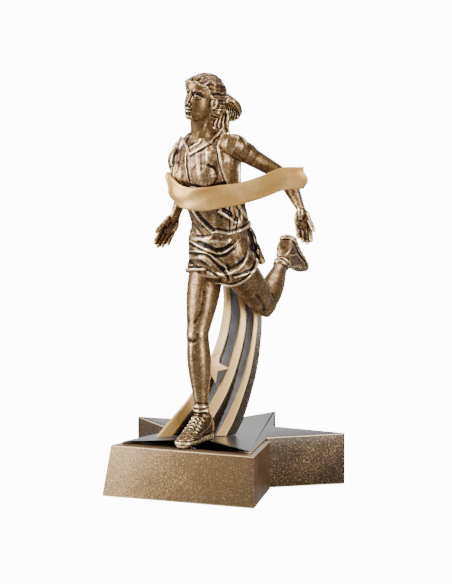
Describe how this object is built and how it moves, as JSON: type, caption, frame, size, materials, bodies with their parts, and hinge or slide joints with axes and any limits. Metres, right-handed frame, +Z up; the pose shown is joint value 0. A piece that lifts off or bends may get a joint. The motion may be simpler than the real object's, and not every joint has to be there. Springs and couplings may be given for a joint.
{
  "type": "figure trophy",
  "caption": "Cast running figure breasting a finish tape, standing on a star-shaped base with a plaque face and carried behind by a fan of raised streamers.",
  "frame": {"origin": "middle of the star on the underside of the pad", "axes": "+Z up, and -Y towards the plaque face at the front"},
  "size_m": [0.1147, 0.1203, 0.2115],
  "materials": {
    "star_base": "cast resin, dark bronze lacquer, gloss",
    "plaque_block": "cast resin, speckled bronze lacquer, satin",
    "felt_pad": "black felt",
    "streamer_column": "cast resin, dark bronze, semi-gloss",
    "streamer_bands": "cast resin, satin pale gold",
    "accent_star": "cast resin, satin pale gold",
    "torso": "cast resin, antique gold over brown, semi-gloss",
    "shorts": "cast resin, antique gold over brown, semi-gloss",
    "head": "cast resin, antique gold over brown, semi-gloss",
    "ponytail": "cast resin, antique gold over brown, semi-gloss",
    "arms": "cast resin, antique gold over brown, semi-gloss",
    "legs": "cast resin, antique gold over brown, semi-gloss",
    "shoes": "cast resin, antique gold over brown, semi-gloss",
    "finish_tape": "cast resin, matte pale gold",
    "steel_hardware": "bright steel"
  },
  "bodies": {
    "root": {"star_base": "star_base", "plaque_block": "plaque_block", "felt_pad": "felt_pad", "streamer_column": "streamer_column", "band_left": "streamer_bands", "band_centre": "streamer_bands", "band_right": "streamer_bands", "accent_star": "accent_star", "torso": "torso", "shorts": "shorts", "head": "head", "ponytail": "ponytail", "left_arm": "arms", "right_arm": "arms", "left_leg": "legs", "right_leg": "legs", "left_shoe": "shoes", "right_shoe": "shoes", "finish_tape": "finish_tape", "neck_pin": "steel_hardware", "waist_pin": "steel_hardware", "left_shoulder_pin": "steel_hardware", "right_shoulder_pin": "steel_hardware", "left_hip_pin": "steel_hardware", "right_hip_pin": "steel_hardware", "left_ankle_pin": "steel_hardware", "right_ankle_pin": "steel_hardware", "left_column_bolt": "steel_hardware", "left_column_bolt_washer": "steel_hardware", "right_column_bolt": "steel_hardware", "right_column_bolt_washer": "steel_hardware", "foot_bolt": "steel_hardware", "foot_bolt_washer": "steel_hardware"}
  },
  "joints": []
}
